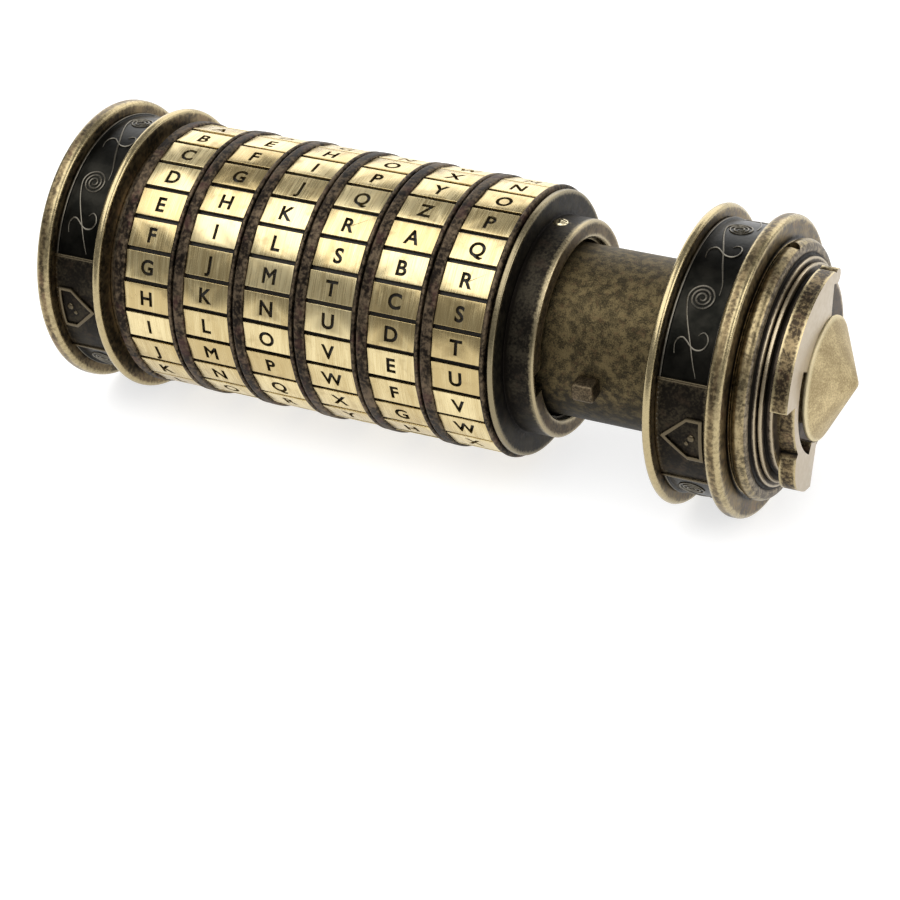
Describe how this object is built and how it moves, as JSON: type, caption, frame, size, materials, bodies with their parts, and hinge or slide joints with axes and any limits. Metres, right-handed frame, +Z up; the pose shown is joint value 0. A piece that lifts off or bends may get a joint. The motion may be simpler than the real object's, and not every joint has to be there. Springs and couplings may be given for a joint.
{
  "type": "cryptex",
  "caption": "Cylindrical combination-lock puzzle box: letter rings turn on a slotted sleeve and free a sliding drawer tube with a pointed cap.",
  "frame": {"origin": "on the surface that the flanges rest on, under the middle of the drawn-out object", "axes": "+X along the cylinder towards the drawer's cap, +Z up, the code line with the pins and pointers at -Y"},
  "size_m": [0.1362, 0.048, 0.048],
  "materials": {
    "antique_brass": "antique brass, worn bright on its edges",
    "black_band": "blackened metal with raised scroll lines",
    "pointer_bronze": "dark bronze, raised edges worn bright",
    "pale_finial": "grainy pale antique brass",
    "screw_brass": "plain brass screws",
    "dark_collar": "dark mottled bronze with a worn lip",
    "mottled_tube": "mottled brown antique bronze",
    "sleeve_brass": "dull brass",
    "ring_bronze": "mottled red-brown bronze",
    "letter_brass": "brushed pale brass with black letters"
  },
  "bodies": {
    "case": {"left_cap": "antique_brass", "left_scroll_band": "black_band", "left_pointer_plates": "pointer_bronze", "base_plate": "antique_brass", "base_screws": "screw_brass", "guide_sleeve": "sleeve_brass", "stack_spacer": "dark_collar", "collar": "dark_collar", "collar_screws": "screw_brass"},
    "drawer": {"inner_tube": "mottled_tube", "key_pins": "mottled_tube", "right_cap": "antique_brass", "right_scroll_band": "black_band", "right_pointer_plates": "pointer_bronze", "crown": "antique_brass", "finial": "pale_finial", "set_screws": "screw_brass"},
    "ring_1": {"ring_1_carrier": "ring_bronze", "ring_1_letter_band": "letter_brass", "ring_1_code_plate": "ring_bronze"},
    "ring_2": {"ring_2_carrier": "ring_bronze", "ring_2_letter_band": "letter_brass", "ring_2_code_plate": "ring_bronze"},
    "ring_3": {"ring_3_carrier": "ring_bronze", "ring_3_letter_band": "letter_brass", "ring_3_code_plate": "ring_bronze"},
    "ring_4": {"ring_4_carrier": "ring_bronze", "ring_4_letter_band": "letter_brass", "ring_4_code_plate": "ring_bronze"},
    "ring_5": {"ring_5_carrier": "ring_bronze", "ring_5_letter_band": "letter_brass", "ring_5_code_plate": "ring_bronze"},
    "ring_6": {"ring_6_carrier": "ring_bronze", "ring_6_letter_band": "letter_brass", "ring_6_code_plate": "ring_bronze"}
  },
  "joints": [
    {"name": "drawer_slide", "type": "slide", "parent": "case", "child": "drawer", "axis": [1, 0, 0], "range_m": [-0.024, 0.054]},
    {"name": "ring_1_turn", "type": "hinge", "parent": "case", "child": "ring_1", "pos_m": [0, 0, 0.024], "axis": [1, 0, 0], "continuous": true},
    {"name": "ring_2_turn", "type": "hinge", "parent": "case", "child": "ring_2", "pos_m": [0, 0, 0.024], "axis": [1, 0, 0], "continuous": true},
    {"name": "ring_3_turn", "type": "hinge", "parent": "case", "child": "ring_3", "pos_m": [0, 0, 0.024], "axis": [1, 0, 0], "continuous": true},
    {"name": "ring_4_turn", "type": "hinge", "parent": "case", "child": "ring_4", "pos_m": [0, 0, 0.024], "axis": [1, 0, 0], "continuous": true},
    {"name": "ring_5_turn", "type": "hinge", "parent": "case", "child": "ring_5", "pos_m": [0, 0, 0.024], "axis": [1, 0, 0], "continuous": true},
    {"name": "ring_6_turn", "type": "hinge", "parent": "case", "child": "ring_6", "pos_m": [0, 0, 0.024], "axis": [1, 0, 0], "continuous": true}
  ]
}
